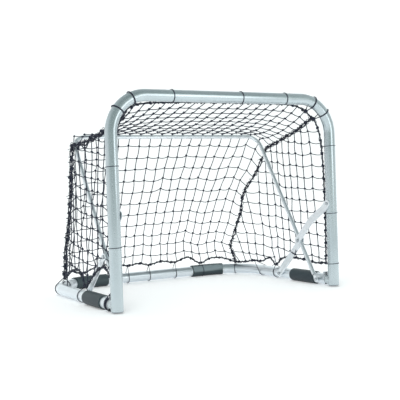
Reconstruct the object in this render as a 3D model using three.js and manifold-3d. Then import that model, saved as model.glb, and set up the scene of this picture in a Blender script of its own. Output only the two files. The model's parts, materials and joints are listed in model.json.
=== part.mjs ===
// A small practice hockey goal that folds flat, in millimetres.
// X runs across the mouth, Y runs back from the mouth, Z is up, and the floor is z = 0.
// The front frame stands on two foot hinges at the front ends of a base frame that lies on the floor.
// A thin support frame and a pair of flat brace bars on each side hold it upright.

import * as THREE from 'three';
import { mergeVertices } from 'three/addons/utils/BufferGeometryUtils.js';
import Module from 'manifold-3d';

// Driving dimensions

const TUBE_SIDES = 24;
const BAR_SIDES = 20;
const BOLT_SIDES = 16;
const HEXAGON = 6;
const BEND_STEPS = 7;

const OPENING_WIDTH = 1000;
const OPENING_HEIGHT = 800;
const BASE_DEPTH = 765;
const TUBE_RADIUS = 24;
const TUBE_WALL = 2;
const CORNER_RADIUS = 150;
const BASE_CORNER_RADIUS = 205;
const GAP = 0.3;

const SLEEVE_THICKNESS = 5;
const ARM_SLEEVE = [112, 292];
const REAR_SLEEVE_START = 232;
const REAR_SLEEVE_BEND_STEPS = 2;
const FOOTPRINT_CENTRE_Y = 385;

const SUPPORT_RADIUS = 9;
const SUPPORT_WALL = 1.5;
const SUPPORT_X = 482;
const SUPPORT_FOOT_Y = 70;
const SUPPORT_TOP_Y = 500;
const SUPPORT_TOP_Z = 695;
const SUPPORT_CORNER_RADIUS = 60;
const SUPPORT_BEND_STEPS = 6;
const SUPPORT_SIDES = 16;
const DRAIN_RADIUS = 2;
const LUG_THICKNESS = 5;
const LUG_WIDTH = 25;
const LUG_REACH = 34;
const LUG_TAPER = 12;
const LUG_OVERLAP = 8;

const BAR_WIDTH = 34;
const BAR_THICKNESS = 3;
const BAR_CLEARANCE = 0.5;
const JOGGLE = [35, 105];
const BRACE_POST_Z = 368;
const BRACE_ARM_Y = 366;
const BOLT_RADIUS = 4;
const HEAD_RADIUS = 7.5;
const HEAD_HEIGHT = 4.5;
const NUT_HEIGHT = 4;
const OVERLAP = 1;

const PLUG_DEPTH = 14;
const FOOT_FLANGE = 3;
const ARM_FLANGE = 4;

const SEAM_Y = 34;
const STUB_START_Y = 2;
const HINGE_RISE = 5.5;
const HINGE_PIN_RADIUS = 2.5;
const KNUCKLE_RADIUS = 5;
const KNUCKLE_HALF_WIDTH = 4.5;
const LEAF_HALF_WIDTH = 13;
const LEAF_REACH = 20;
const LEAF_FOOT = 12;
const LEAF_TOP = 3;
const WEB_DROP = 2;
const WEB_OVERLAP = 3;
const PIN_HEAD_RIM = 1.5;
const HINGE_PIN_HEAD = 2;
const LOCK_PIN_RADIUS = 3;
const LOCK_PIN_RISE = 6;
const LOCK_PIN_REACH = [19, 21];
const LOCK_PIN_HEAD = 3;

const NET_THICKNESS = 2;
const NET_FRONT_Y = 29;
const NET_FOOT_Z = 62;
const NET_TOP_DROP = 14;
const NET_TUBE_CLEARANCE = [14, 7];
const NET_BACK_CLEARANCE = [13, 15];
const NET_SIDE_CLEARANCE = 3;
const NET_PANEL_MARGIN = 2;
const NET_REAR_MARGIN = 12;
const BORDER_CORD_RADIUS = 4;
const MOUTH_CORD_RISE = 7;
const TOP_SEAM_OFFSETS = [10, 4];
const BACK_SEAM_OFFSETS = [6, 12];
const FOOT_CORD_RISE = 2;
const BACK_FOOT_OFFSET = 8;
const CORD_SIDES = 8;
const CORD_BEND_STEPS = 2;

// Places worked out from the driving dimensions

const POST_X = OPENING_WIDTH / 2 + TUBE_RADIUS;
const CROSSBAR_Z = OPENING_HEIGHT + TUBE_RADIUS;
const SLEEVE_RADIUS = TUBE_RADIUS + SLEEVE_THICKNESS;
// The sleeves rest on the flat of their lowest facet.
const BASE_Z = SLEEVE_RADIUS * Math.cos(Math.PI / TUBE_SIDES);
const TUBE_FOOT_Z = BASE_Z - TUBE_RADIUS + FOOT_FLANGE;
const INNER_FACE_X = OPENING_WIDTH / 2;
const HINGE_Z = BASE_Z + TUBE_RADIUS + HINGE_RISE;
const ARM_START_Y = SEAM_Y + ARM_FLANGE;
const LOCK_PIN_Z = BASE_Z - TUBE_RADIUS + LOCK_PIN_RISE;
const LEAF_STANDOFF = KNUCKLE_RADIUS + 0.5;
const TUBE_BORE = TUBE_RADIUS - TUBE_WALL;

const ELBOW_Y = BRACE_ARM_Y / 2;
const ELBOW_Z = (BRACE_POST_Z + BASE_Z) / 2;
const LINK_LENGTH = Math.hypot(BRACE_ARM_Y, BRACE_POST_Z - BASE_Z) / 2;
const BRACE_ANGLE = Math.atan2(BRACE_POST_Z - BASE_Z, BRACE_ARM_Y);
const SUPPORT_ANGLE = Math.atan2(SUPPORT_TOP_Z - BASE_Z, SUPPORT_TOP_Y - SUPPORT_FOOT_Y);

// Each brace bar's faces across X. The support leg passes between the two bars at the elbow.
const LOWER_LINK_START_X = SUPPORT_X + SUPPORT_RADIUS + BAR_CLEARANCE;
const LOWER_LINK_X = [LOWER_LINK_START_X, LOWER_LINK_START_X + BAR_THICKNESS];
const UPPER_LINK_END_X = SUPPORT_X - SUPPORT_RADIUS - BAR_CLEARANCE;
const UPPER_LINK_X = [UPPER_LINK_END_X - BAR_THICKNESS, UPPER_LINK_END_X];
const UPPER_LINK_POST_X = [INNER_FACE_X - GAP - BAR_THICKNESS, INNER_FACE_X - GAP];

// The net's corners in side view, as [y, z].
const NET_FRONT_TOP_Z = CROSSBAR_Z - NET_TOP_DROP;
const NET_REAR_TOP = [SUPPORT_TOP_Y - NET_TUBE_CLEARANCE[0], SUPPORT_TOP_Z + NET_TUBE_CLEARANCE[1]];
const NET_BACK_TOP = [SUPPORT_TOP_Y + NET_BACK_CLEARANCE[0], SUPPORT_TOP_Z - NET_BACK_CLEARANCE[1]];
const NET_BACK_FOOT_Y = BASE_DEPTH - 5;
const SIDE_NET_X = INNER_FACE_X + NET_SIDE_CLEARANCE;
const CORD_X = SIDE_NET_X + NET_THICKNESS + BORDER_CORD_RADIUS + 1;
const FOOT_CORD_START_Y = SEAM_Y + LEAF_REACH + 6;
const FOOT_CORD_Z = NET_FOOT_Z + FOOT_CORD_RISE;

// Materials

function material(color, roughness, metalness) {
  return new THREE.MeshStandardMaterial({ color, roughness, metalness });
}

const aluminium = () => material('#c3ced2', 0.38, 0.85);
const brightAluminium = () => material('#d4dcdf', 0.3, 0.9);
const steel = () => material('#9aa3a8', 0.35, 0.9);
const darkSteel = () => material('#3a4147', 0.45, 0.7);
const rubber = () => material('#3d4a4f', 0.75, 0);
const plastic = () => material('#aab4b8', 0.6, 0);
const netCord = () => material('#1d2733', 0.85, 0);

// Solids joined and cut with manifold-3d

const wasm = await Module();
wasm.setup();

function toSolid(geometry) {
  const bare = geometry.index ? geometry.toNonIndexed() : geometry.clone();
  bare.deleteAttribute('normal');
  bare.deleteAttribute('uv');
  const merged = mergeVertices(bare, 1e-4);
  return new wasm.Manifold(new wasm.Mesh({
    numProp: 3,
    vertProperties: new Float32Array(merged.attributes.position.array),
    triVerts: new Uint32Array(merged.index.array),
  }));
}

function toGeometry(solid) {
  const mesh = solid.getMesh();
  const geometry = new THREE.BufferGeometry();
  geometry.setAttribute('position', new THREE.BufferAttribute(new Float32Array(mesh.vertProperties), 3));
  geometry.setIndex(new THREE.BufferAttribute(new Uint32Array(mesh.triVerts), 1));
  const faceted = geometry.toNonIndexed();
  faceted.computeVertexNormals();
  return faceted;
}

function join(first, ...others) {
  return toGeometry(others.reduce((solid, other) => solid.add(toSolid(other)), toSolid(first)));
}

function cut(first, ...others) {
  return toGeometry(others.reduce((solid, other) => solid.subtract(toSolid(other)), toSolid(first)));
}

function common(first, second) {
  return toGeometry(toSolid(first).intersect(toSolid(second)));
}

// Basic shapes

function box(x, y, z) {
  const geometry = new THREE.BoxGeometry(x[1] - x[0], y[1] - y[0], z[1] - z[0]);
  return geometry.translate((x[0] + x[1]) / 2, (y[0] + y[1]) / 2, (z[0] + z[1]) / 2);
}

// A round bar along X, centred on (y, z).
function barAlongX(radius, x, y, z, sides = BAR_SIDES) {
  const geometry = new THREE.CylinderGeometry(radius, radius, Math.abs(x[1] - x[0]), sides);
  return geometry.rotateZ(Math.PI / 2).translate((x[0] + x[1]) / 2, y, z);
}

// A round bar along Y, centred on (x, z).
function barAlongY(radius, y, x, z) {
  const geometry = new THREE.CylinderGeometry(radius, radius, y[1] - y[0], TUBE_SIDES);
  return geometry.translate(x, (y[0] + y[1]) / 2, z);
}

// A round bar along Z, centred on (x, y).
function barAlongZ(radius, z, x, y, sides = TUBE_SIDES) {
  const geometry = new THREE.CylinderGeometry(radius, radius, z[1] - z[0], sides);
  return geometry.rotateX(Math.PI / 2).translate(x, y, (z[0] + z[1]) / 2);
}

// A turned part about Z: the profile is a list of [radius, height] that starts and ends on the axis.
function turned(profile) {
  const points = profile.map(([radius, height]) => new THREE.Vector2(radius, height));
  return new THREE.LatheGeometry(points, TUBE_SIDES).rotateX(Math.PI / 2);
}

// Bent tubes

// A path given by stations: a station is a point and the direction of travel there.
class StationPath extends THREE.Curve {
  constructor(stations) {
    super();
    this.stations = stations;
    this.steps = stations.length - 1;
  }

  getPointAt(u) {
    return this.stations[Math.round(u * this.steps)].point.clone();
  }

  getTangentAt(u) {
    return this.stations[Math.round(u * this.steps)].tangent.clone();
  }
}

// The stations of a round bend that replaces the corner between two straight runs.
function bendStations(before, corner, after, radius, bendSteps) {
  const along = corner.clone().sub(before).normalize();
  const onward = after.clone().sub(corner).normalize();
  const turn = along.angleTo(onward);
  const start = corner.clone().addScaledVector(along, -radius * Math.tan(turn / 2));
  const towardCentre = onward.clone().addScaledVector(along, -onward.dot(along)).normalize();
  const centre = start.clone().addScaledVector(towardCentre, radius);
  const stations = [];
  for (let step = 0; step <= bendSteps; step += 1) {
    const angle = (turn * step) / bendSteps;
    const point = centre.clone()
      .addScaledVector(along, radius * Math.sin(angle))
      .addScaledVector(towardCentre, -radius * Math.cos(angle));
    const tangent = along.clone().multiplyScalar(Math.cos(angle))
      .addScaledVector(towardCentre, Math.sin(angle));
    stations.push({ point, tangent });
  }
  return stations;
}

// A path of straight runs joined by round bends, with steps only in the bends.
function bentPath(corners, radius, bendSteps = BEND_STEPS) {
  const last = corners.length - 1;
  const heading = (i) => corners[i + 1].clone().sub(corners[i]).normalize();
  const stations = [{ point: corners[0], tangent: heading(0) }];
  for (let i = 1; i < last; i += 1) {
    stations.push(...bendStations(corners[i - 1], corners[i], corners[i + 1], radius, bendSteps));
  }
  stations.push({ point: corners[last], tangent: heading(last - 1) });
  return new StationPath(stations);
}

function circleShape(radius, sides) {
  const points = [];
  for (let i = 0; i < sides; i += 1) {
    const angle = (2 * Math.PI * (i + 0.5)) / sides;
    points.push(new THREE.Vector2(radius * Math.cos(angle), radius * Math.sin(angle)));
  }
  return new THREE.Shape(points);
}

function tubeAlong(path, outer, inner = 0, sides = TUBE_SIDES) {
  const shape = circleShape(outer, sides);
  if (inner > 0) {
    shape.holes.push(new THREE.Path(circleShape(inner, sides).getPoints()));
  }
  return new THREE.ExtrudeGeometry(shape, { steps: path.steps, extrudePath: path, bevelEnabled: false });
}

const at = (x, y, z) => new THREE.Vector3(x, y, z);

const goalFramePath = bentPath([
  at(-POST_X, 0, TUBE_FOOT_Z),
  at(-POST_X, 0, CROSSBAR_Z),
  at(POST_X, 0, CROSSBAR_Z),
  at(POST_X, 0, TUBE_FOOT_Z),
], CORNER_RADIUS);

const baseFramePath = bentPath([
  at(-POST_X, ARM_START_Y, BASE_Z),
  at(-POST_X, BASE_DEPTH, BASE_Z),
  at(POST_X, BASE_DEPTH, BASE_Z),
  at(POST_X, ARM_START_Y, BASE_Z),
], BASE_CORNER_RADIUS);

// The part's meshes

const goal = new THREE.Group();

function addPart(name, geometry, finish) {
  const mesh = new THREE.Mesh(geometry, finish);
  mesh.name = name;
  goal.add(mesh);
}

const SIDES = [['left', -1], ['right', 1]];

// Turns a shape that is drawn for the +X side into one for either side.
function onSide(sign, geometry) {
  if (sign > 0) {
    return geometry;
  }
  const mirrored = geometry.index ? geometry.toNonIndexed() : geometry.clone();
  const position = mirrored.attributes.position;
  for (let i = 0; i < position.count; i += 3) {
    const corners = [0, 2, 1].map((k) => [position.getX(i + k), position.getY(i + k), position.getZ(i + k)]);
    corners.forEach(([x, y, z], k) => position.setXYZ(i + k, -x, y, z));
  }
  mirrored.computeVertexNormals();
  return mirrored;
}

// Front frame

function goalFrameTube() {
  return tubeAlong(goalFramePath, TUBE_RADIUS, TUBE_BORE);
}

// A plastic plug that closes the foot of a post.
function postFootPlug() {
  const bore = TUBE_BORE - GAP;
  const flange = TUBE_RADIUS - 1;
  const flangeTop = TUBE_FOOT_Z - GAP;
  const flangeFoot = BASE_Z - TUBE_RADIUS;
  const plugTop = flangeTop + PLUG_DEPTH;
  return turned([[0, flangeFoot], [flange, flangeFoot], [flange, flangeTop],
    [bore, flangeTop], [bore, plugTop], [0, plugTop]]).translate(POST_X, 0, 0);
}

// A short tube coped round the back of the post, which meets the arm at the seam.
function footStub() {
  const stub = barAlongY(TUBE_RADIUS, [STUB_START_Y, SEAM_Y - GAP], POST_X, BASE_Z);
  return cut(stub, postSpace(), lockPinSpace());
}

// The space of a post's foot, which the pieces beside it are cut to clear.
function postSpace() {
  return barAlongZ(TUBE_RADIUS + GAP, [-TUBE_RADIUS, HINGE_Z + TUBE_RADIUS], POST_X, 0);
}

function lockPinSpace() {
  const x = [POST_X - SLEEVE_RADIUS, POST_X + SLEEVE_RADIUS];
  return barAlongX(LOCK_PIN_RADIUS + GAP, x, SEAM_Y, LOCK_PIN_Z);
}

// Hinge leaves: a saddle on the tube with knuckles round the hinge pin.

function saddle(y) {
  const width = [POST_X - LEAF_HALF_WIDTH, POST_X + LEAF_HALF_WIDTH];
  const block = box(width, y, [BASE_Z + LEAF_FOOT, HINGE_Z + LEAF_TOP]);
  return cut(block, barAlongY(TUBE_RADIUS + GAP, [y[0] - OVERLAP, y[1] + OVERLAP], POST_X, BASE_Z));
}

function knuckle(x, towardY) {
  const barrel = barAlongX(KNUCKLE_RADIUS, x, SEAM_Y, HINGE_Z);
  const y = [Math.min(SEAM_Y, towardY), Math.max(SEAM_Y, towardY)];
  const web = box(x, y, [HINGE_Z - WEB_DROP, HINGE_Z + LEAF_TOP]);
  return join(barrel, web);
}

function pinSpace() {
  return barAlongX(HINGE_PIN_RADIUS + GAP, [POST_X - TUBE_RADIUS, POST_X + TUBE_RADIUS], SEAM_Y, HINGE_Z);
}

function frontHingeLeaf() {
  const blockEnd = SEAM_Y - LEAF_STANDOFF;
  const inner = [POST_X - LEAF_HALF_WIDTH, POST_X - KNUCKLE_HALF_WIDTH - GAP];
  const outer = [POST_X + KNUCKLE_HALF_WIDTH + GAP, POST_X + LEAF_HALF_WIDTH];
  const webEnd = blockEnd - WEB_OVERLAP;
  const block = saddle([SEAM_Y - LEAF_REACH, blockEnd]);
  const leaf = join(block, knuckle(inner, webEnd), knuckle(outer, webEnd));
  return cut(leaf, pinSpace(), postSpace());
}

function rearHingeLeaf() {
  const blockStart = SEAM_Y + LEAF_STANDOFF;
  const middle = [POST_X - KNUCKLE_HALF_WIDTH, POST_X + KNUCKLE_HALF_WIDTH];
  const leaf = join(saddle([blockStart, SEAM_Y + LEAF_REACH]), knuckle(middle, blockStart + WEB_OVERLAP));
  return cut(leaf, pinSpace());
}

function hingePin() {
  const half = LEAF_HALF_WIDTH + GAP;
  const inner = POST_X - half;
  const outer = POST_X + half;
  const headRadius = HINGE_PIN_RADIUS + PIN_HEAD_RIM;
  return join(barAlongX(HINGE_PIN_RADIUS, [inner - OVERLAP, outer + OVERLAP], SEAM_Y, HINGE_Z),
    barAlongX(headRadius, [inner - HINGE_PIN_HEAD, inner], SEAM_Y, HINGE_Z),
    barAlongX(headRadius, [outer, outer + HINGE_PIN_HEAD], SEAM_Y, HINGE_Z));
}

// The pin through the foot of the seam that keeps the front frame upright.
function footLockPin() {
  const inner = POST_X - LOCK_PIN_REACH[0];
  const outer = POST_X + LOCK_PIN_REACH[1];
  return join(barAlongX(LOCK_PIN_RADIUS, [inner, outer + OVERLAP], SEAM_Y, LOCK_PIN_Z),
    barAlongX(LOCK_PIN_RADIUS + PIN_HEAD_RIM, [outer, outer + LOCK_PIN_HEAD], SEAM_Y, LOCK_PIN_Z));
}

// Base frame

function baseFrameTube() {
  return tubeAlong(baseFramePath, TUBE_RADIUS, TUBE_BORE);
}

function armEndPlug() {
  const flange = ARM_START_Y - GAP;
  const face = SEAM_Y + GAP;
  const plug = join(barAlongY(TUBE_RADIUS, [face, flange], POST_X, BASE_Z),
    barAlongY(TUBE_BORE - GAP, [flange - OVERLAP, flange + PLUG_DEPTH], POST_X, BASE_Z));
  return cut(plug, lockPinSpace());
}

function ringShape(outer, inner, sides) {
  const shape = circleShape(outer, sides);
  shape.holes.push(new THREE.Path(circleShape(inner, sides).getPoints()));
  return shape;
}

function armSleeve() {
  const section = ringShape(SLEEVE_RADIUS, TUBE_RADIUS + GAP, TUBE_SIDES);
  const length = ARM_SLEEVE[1] - ARM_SLEEVE[0];
  const sleeve = new THREE.ExtrudeGeometry(section, { depth: length, bevelEnabled: false });
  return sleeve.rotateX(-Math.PI / 2).translate(POST_X, ARM_SLEEVE[0], BASE_Z);
}

// The rear sleeve runs from the straight bar into the corner bend, in the tube's own steps.
function rearSleeve() {
  const straightEnd = POST_X - BASE_CORNER_RADIUS;
  const centreY = BASE_DEPTH - BASE_CORNER_RADIUS;
  const stations = [{ point: at(REAR_SLEEVE_START, BASE_DEPTH, BASE_Z), tangent: at(1, 0, 0) }];
  for (let step = 0; step <= REAR_SLEEVE_BEND_STEPS; step += 1) {
    const angle = (Math.PI / 2) * (step / BEND_STEPS);
    const x = straightEnd + BASE_CORNER_RADIUS * Math.sin(angle);
    const y = centreY + BASE_CORNER_RADIUS * Math.cos(angle);
    stations.push({ point: at(x, y, BASE_Z), tangent: at(Math.cos(angle), -Math.sin(angle), 0) });
  }
  return tubeAlong(new StationPath(stations), SLEEVE_RADIUS, TUBE_RADIUS + GAP);
}

// A bolt with a low hexagon head on its inner end and a shank that reaches out to `end`.
function boltAlongX(headX, end, y, z) {
  return join(barAlongX(HEAD_RADIUS, [headX - HEAD_HEIGHT, headX], y, z, HEXAGON),
    barAlongX(BOLT_RADIUS, [headX - OVERLAP, end], y, z, BOLT_SIDES));
}

// A spacer tube round a bolt.
function spacerAlongX(x, y, z) {
  const section = ringShape(HEAD_RADIUS, BOLT_RADIUS + GAP, BAR_SIDES);
  const spacer = new THREE.ExtrudeGeometry(section, { depth: x[1] - x[0], bevelEnabled: false });
  return spacer.rotateY(Math.PI / 2).translate(x[0], y, z);
}

// The nut on the outside of the lower bar, with the end of the elbow bolt in it.
function elbowNut() {
  const nutStart = LOWER_LINK_X[1] + GAP;
  const shank = [LOWER_LINK_X[0], nutStart + OVERLAP];
  return join(barAlongX(HEAD_RADIUS, [nutStart, nutStart + NUT_HEIGHT], ELBOW_Y, ELBOW_Z, HEXAGON),
    barAlongX(BOLT_RADIUS, shank, ELBOW_Y, ELBOW_Z, BOLT_SIDES));
}

// Support frame: a thin tube whose leg ends are flattened into drilled lugs.

function supportTube() {
  const direction = at(0, Math.cos(SUPPORT_ANGLE), Math.sin(SUPPORT_ANGLE));
  const legStart = (sign) => at(sign * SUPPORT_X, SUPPORT_FOOT_Y, BASE_Z)
    .addScaledVector(direction, LUG_REACH - LUG_OVERLAP);
  const path = bentPath([
    legStart(-1),
    at(-SUPPORT_X, SUPPORT_TOP_Y, SUPPORT_TOP_Z),
    at(SUPPORT_X, SUPPORT_TOP_Y, SUPPORT_TOP_Z),
    legStart(1),
  ], SUPPORT_CORNER_RADIUS, SUPPORT_BEND_STEPS);
  const tube = tubeAlong(path, SUPPORT_RADIUS, SUPPORT_RADIUS - SUPPORT_WALL, SUPPORT_SIDES);
  const lugs = SIDES.map(([, sign]) => onSide(sign, supportLug()));
  const drain = [SUPPORT_TOP_Z - 2 * SUPPORT_RADIUS, SUPPORT_TOP_Z];
  const drainHole = barAlongZ(DRAIN_RADIUS, drain, 0, SUPPORT_TOP_Y, CORD_SIDES);
  return cut(join(tube, ...lugs), drainHole);
}

function supportLug() {
  const half = LUG_WIDTH / 2;
  const plate = new THREE.Shape();
  plate.moveTo(0, half);
  plate.absarc(0, 0, half, Math.PI / 2, (3 * Math.PI) / 2, false);
  plate.lineTo(LUG_REACH - LUG_TAPER, -half);
  plate.lineTo(LUG_REACH, -SUPPORT_RADIUS);
  plate.lineTo(LUG_REACH, SUPPORT_RADIUS);
  plate.lineTo(LUG_REACH - LUG_TAPER, half);
  plate.holes.push(new THREE.Path(circleShape(BOLT_RADIUS + GAP, BOLT_SIDES).getPoints()));
  return flatPlate(plate, LUG_THICKNESS)
    .rotateX(SUPPORT_ANGLE)
    .translate(SUPPORT_X - LUG_THICKNESS / 2, SUPPORT_FOOT_Y, BASE_Z);
}

// A plate drawn in (along, up) and laid in the YZ plane, with its thickness along +X.
function flatPlate(shape, thickness) {
  const settings = { depth: thickness, bevelEnabled: false, curveSegments: 8 };
  return new THREE.ExtrudeGeometry(shape, settings).rotateZ(Math.PI / 2).rotateY(Math.PI / 2);
}

// Brace bars: a strip cut to a round-ended outline with a bolt hole at each end.

function braceOutline() {
  const half = BAR_WIDTH / 2;
  const outline = new THREE.Shape();
  outline.moveTo(0, half);
  outline.absarc(0, 0, half, Math.PI / 2, (3 * Math.PI) / 2, false);
  outline.lineTo(LINK_LENGTH, -half);
  outline.absarc(LINK_LENGTH, 0, half, -Math.PI / 2, Math.PI / 2, false);
  for (const centre of [0, LINK_LENGTH]) {
    const hole = circleShape(BOLT_RADIUS + GAP, BOLT_SIDES).getPoints();
    const offset = new THREE.Vector2(centre, 0);
    outline.holes.push(new THREE.Path(hole.map((point) => point.clone().add(offset))));
  }
  return outline;
}

// The lower bar, from its bolt on the arm up to the elbow.
function lowerBrace() {
  return flatPlate(braceOutline(), BAR_THICKNESS)
    .rotateX(Math.PI - BRACE_ANGLE)
    .translate(LOWER_LINK_X[0], BRACE_ARM_Y, BASE_Z);
}

// The upper bar, set inward by a joggle between its bolt on the post and the elbow.
function upperBrace() {
  const margin = BAR_WIDTH;
  const postSide = UPPER_LINK_POST_X;
  const elbowSide = UPPER_LINK_X;
  const strip = new THREE.Shape([
    new THREE.Vector2(-margin, postSide[0]),
    new THREE.Vector2(JOGGLE[0], postSide[0]),
    new THREE.Vector2(JOGGLE[1], elbowSide[0]),
    new THREE.Vector2(LINK_LENGTH + margin, elbowSide[0]),
    new THREE.Vector2(LINK_LENGTH + margin, elbowSide[1]),
    new THREE.Vector2(JOGGLE[1], elbowSide[1]),
    new THREE.Vector2(JOGGLE[0], postSide[1]),
    new THREE.Vector2(-margin, postSide[1]),
  ]);
  const joggled = new THREE.ExtrudeGeometry(strip, { depth: 2 * margin, bevelEnabled: false });
  // The strip's (along, inward) outline is stood up so that along is +Y, inward is X and its width is Z.
  const standUp = new THREE.Matrix4().makeBasis(at(0, 1, 0), at(1, 0, 0), at(0, 0, -1));
  joggled.translate(0, 0, -margin).applyMatrix4(standUp);
  const depth = postSide[1] - elbowSide[0] + 2 * OVERLAP;
  const outline = flatPlate(braceOutline(), depth).translate(elbowSide[0] - OVERLAP, 0, 0);
  return common(outline, joggled).rotateX(-BRACE_ANGLE).translate(0, 0, BRACE_POST_Z);
}

// Net panels: each is a thin slab in place of the knotted cord, clear of the tubes that it is tied to.

function sideNet() {
  const outline = new THREE.Shape([
    new THREE.Vector2(NET_FRONT_Y, NET_FOOT_Z),
    new THREE.Vector2(NET_BACK_FOOT_Y - NET_REAR_MARGIN, NET_FOOT_Z),
    new THREE.Vector2(NET_BACK_TOP[0], SUPPORT_TOP_Z),
    new THREE.Vector2(NET_FRONT_Y, NET_FRONT_TOP_Z),
  ]);
  return flatPlate(outline, NET_THICKNESS).translate(SIDE_NET_X, 0, 0);
}

// A slab across the goal between two points of its side outline.
function crossNet(from, to, halfWidth) {
  const length = Math.hypot(to[0] - from[0], to[1] - from[1]);
  const angle = Math.atan2(to[1] - from[1], to[0] - from[0]);
  return box([-halfWidth, halfWidth], [0, length], [-NET_THICKNESS / 2, NET_THICKNESS / 2])
    .rotateX(angle)
    .translate(0, from[0], from[1]);
}

// Border cords along the seams and edges of the net.
function borderCord(corners) {
  const path = bentPath(corners.map(([x, y, z]) => at(x, y, z)), 1.5 * BORDER_CORD_RADIUS, CORD_BEND_STEPS);
  return tubeAlong(path, BORDER_CORD_RADIUS, 0, CORD_SIDES);
}

// Assembly

addPart('goal_frame_tube', goalFrameTube(), aluminium());
addPart('base_frame_tube', baseFrameTube(), aluminium());
addPart('support_frame_tube', supportTube(), brightAluminium());

const armBoltEnd = INNER_FACE_X - GAP;
for (const [side, sign] of SIDES) {
  addPart(`post_foot_plug_${side}`, onSide(sign, postFootPlug()), plastic());
  addPart(`foot_stub_${side}`, onSide(sign, footStub()), aluminium());
  addPart(`front_hinge_leaf_${side}`, onSide(sign, frontHingeLeaf()), steel());
  addPart(`rear_hinge_leaf_${side}`, onSide(sign, rearHingeLeaf()), steel());
  addPart(`hinge_pin_${side}`, onSide(sign, hingePin()), darkSteel());
  addPart(`foot_lock_pin_${side}`, onSide(sign, footLockPin()), darkSteel());
  addPart(`arm_end_plug_${side}`, onSide(sign, armEndPlug()), plastic());
  addPart(`arm_sleeve_${side}`, onSide(sign, armSleeve()), rubber());
  addPart(`rear_sleeve_${side}`, onSide(sign, rearSleeve()), rubber());
  addPart(`upper_brace_${side}`, onSide(sign, upperBrace()), brightAluminium());
  addPart(`lower_brace_${side}`, onSide(sign, lowerBrace()), brightAluminium());

  const supportBolt = boltAlongX(SUPPORT_X - LUG_THICKNESS / 2 - GAP, armBoltEnd, SUPPORT_FOOT_Y, BASE_Z);
  addPart(`support_bolt_${side}`, onSide(sign, supportBolt), steel());
  const supportSpacerX = [SUPPORT_X + LUG_THICKNESS / 2 + GAP, armBoltEnd];
  const supportSpacer = spacerAlongX(supportSpacerX, SUPPORT_FOOT_Y, BASE_Z);
  addPart(`support_spacer_${side}`, onSide(sign, supportSpacer), steel());

  const armBolt = boltAlongX(LOWER_LINK_X[0] - GAP, armBoltEnd, BRACE_ARM_Y, BASE_Z);
  addPart(`lower_brace_bolt_${side}`, onSide(sign, armBolt), steel());
  const armSpacer = spacerAlongX([LOWER_LINK_X[1] + GAP, armBoltEnd], BRACE_ARM_Y, BASE_Z);
  addPart(`lower_brace_spacer_${side}`, onSide(sign, armSpacer), steel());

  const postBolt = boltAlongX(UPPER_LINK_POST_X[0] - GAP, armBoltEnd, 0, BRACE_POST_Z);
  addPart(`upper_brace_bolt_${side}`, onSide(sign, postBolt), steel());

  const elbowBolt = boltAlongX(UPPER_LINK_X[0] - GAP, UPPER_LINK_X[1], ELBOW_Y, ELBOW_Z);
  addPart(`elbow_bolt_${side}`, onSide(sign, elbowBolt), steel());
  addPart(`elbow_nut_${side}`, onSide(sign, elbowNut()), steel());

  addPart(`side_net_${side}`, onSide(sign, sideNet()), netCord());
  const topSeam = borderCord([
    [CORD_X, NET_FRONT_Y + TOP_SEAM_OFFSETS[0], NET_FRONT_TOP_Z],
    [CORD_X, NET_REAR_TOP[0], NET_REAR_TOP[1] + TOP_SEAM_OFFSETS[1]],
  ]);
  addPart(`top_seam_cord_${side}`, onSide(sign, topSeam), netCord());
  const backSeam = borderCord([
    [CORD_X, NET_BACK_TOP[0] + BACK_SEAM_OFFSETS[0], NET_BACK_TOP[1]],
    [CORD_X, NET_BACK_FOOT_Y, NET_FOOT_Z + BACK_SEAM_OFFSETS[1]],
  ]);
  addPart(`back_seam_cord_${side}`, onSide(sign, backSeam), netCord());
  const footCord = borderCord([
    [CORD_X, FOOT_CORD_START_Y, FOOT_CORD_Z],
    [CORD_X, NET_BACK_FOOT_Y - NET_REAR_MARGIN, FOOT_CORD_Z],
  ]);
  addPart(`foot_cord_${side}`, onSide(sign, footCord), netCord());
}

const topNet = crossNet([NET_FRONT_Y, NET_FRONT_TOP_Z], NET_REAR_TOP, SIDE_NET_X - NET_PANEL_MARGIN);
addPart('top_net', topNet, netCord());
const backNet = crossNet(NET_BACK_TOP, [NET_BACK_FOOT_Y, FOOT_CORD_Z], SIDE_NET_X - NET_PANEL_MARGIN);
addPart('back_net', backNet, netCord());

addPart('back_foot_cord', borderCord([
  [-SIDE_NET_X, NET_BACK_FOOT_Y + BACK_FOOT_OFFSET, FOOT_CORD_Z],
  [SIDE_NET_X, NET_BACK_FOOT_Y + BACK_FOOT_OFFSET, FOOT_CORD_Z],
]), netCord());
addPart('mouth_cord', borderCord([
  [-CORD_X, NET_FRONT_Y, NET_FOOT_Z + BORDER_CORD_RADIUS],
  [-CORD_X, NET_FRONT_Y, NET_FRONT_TOP_Z + MOUTH_CORD_RISE],
  [CORD_X, NET_FRONT_Y, NET_FRONT_TOP_Z + MOUTH_CORD_RISE],
  [CORD_X, NET_FRONT_Y, NET_FOOT_Z + BORDER_CORD_RADIUS],
]), netCord());

// The origin is on the floor at the middle of the footprint.
goal.position.y = -FOOTPRINT_CENTRE_Y;

export default goal;
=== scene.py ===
"""The looks of a small folding practice hockey goal: satin tubes, soft sleeves and a knotted net."""
import json
import math

import bmesh
import bpy
import numpy as np
from mathutils import Matrix, Vector

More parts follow.
